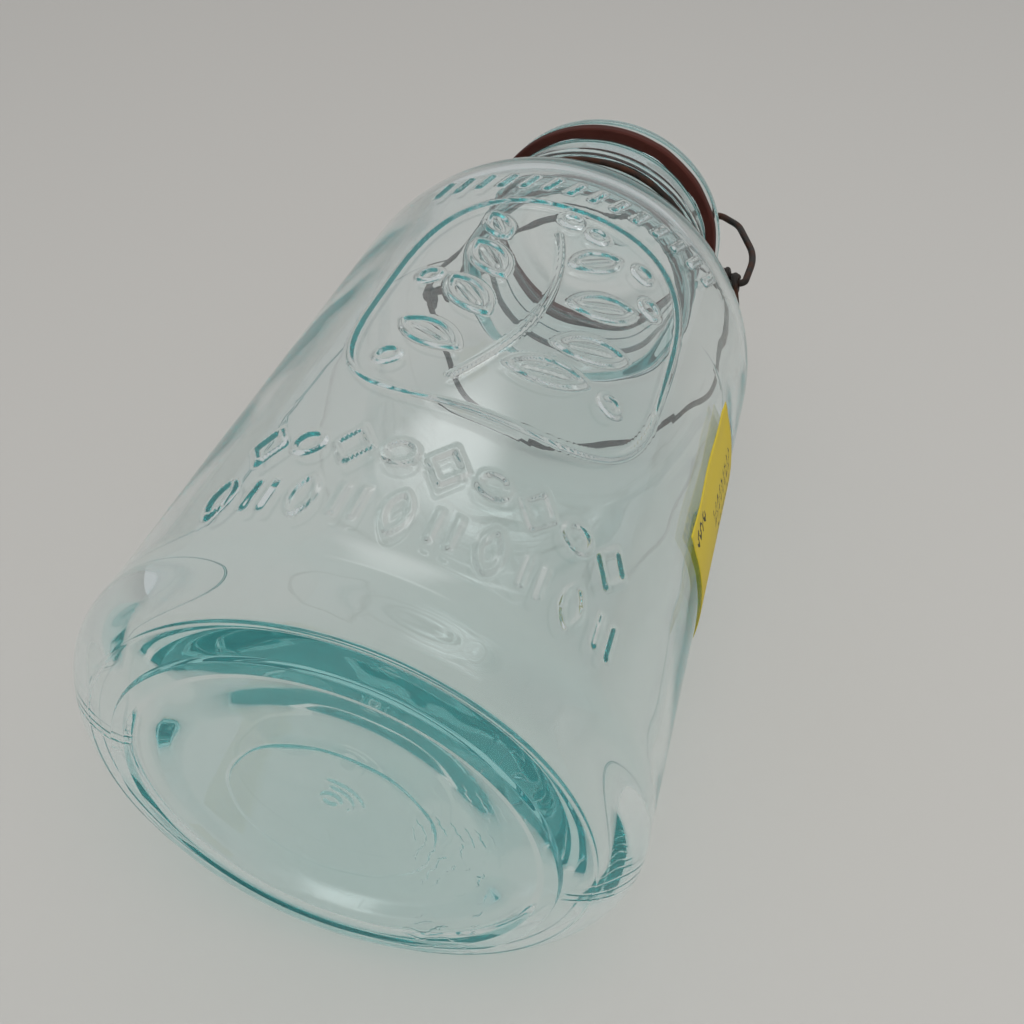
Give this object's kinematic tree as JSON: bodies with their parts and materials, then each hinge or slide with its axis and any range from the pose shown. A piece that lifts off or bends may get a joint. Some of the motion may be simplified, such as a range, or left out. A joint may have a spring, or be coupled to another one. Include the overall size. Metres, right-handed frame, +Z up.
{
  "type": "canning jar",
  "caption": "Clear aqua glass canning jar with a glass lid, a rubber sealing ring and a wire bail closure, lying on its side.",
  "frame": {"origin": "bottom centre of the jar's bounding box, on the surface that it lies on", "axes": "+Y along the jar's axis from its base to its lid, +Z up, +X to the right of the lying jar seen from its base"},
  "size_m": [0.1022, 0.215, 0.1018],
  "materials": {
    "aqua_glass": "clear pressed and blown soda-lime glass with a pale blue-green tint",
    "red_rubber": "aged dark red-brown rubber",
    "dark_wire": "steel wire darkened with age",
    "yellow_paper": "matt yellow paper sticker"
  },
  "bodies": {
    "jar": {"jar": "aqua_glass", "lid": "aqua_glass", "gasket": "red_rubber", "neck_wire": "dark_wire", "label": "yellow_paper"},
    "lever": {"lever": "dark_wire"},
    "bail": {"bail": "dark_wire"}
  },
  "joints": [
    {"name": "lever_hinge", "type": "hinge", "parent": "jar", "child": "lever", "pos_m": [0, 0.06845, 0.05085], "axis": [0.9781, 0, 0.2079], "range_deg": [0, 100]},
    {"name": "bail_hinge", "type": "hinge", "parent": "lever", "child": "bail", "pos_m": [-0.0002, 0.06303, 0.05178], "axis": [0.9781, 0, 0.2079], "range_deg": [-100, 0]}
  ],
  "couplings": [
    {"joint": "bail_hinge", "follows": "lever_hinge", "ratio": -1}
  ]
}
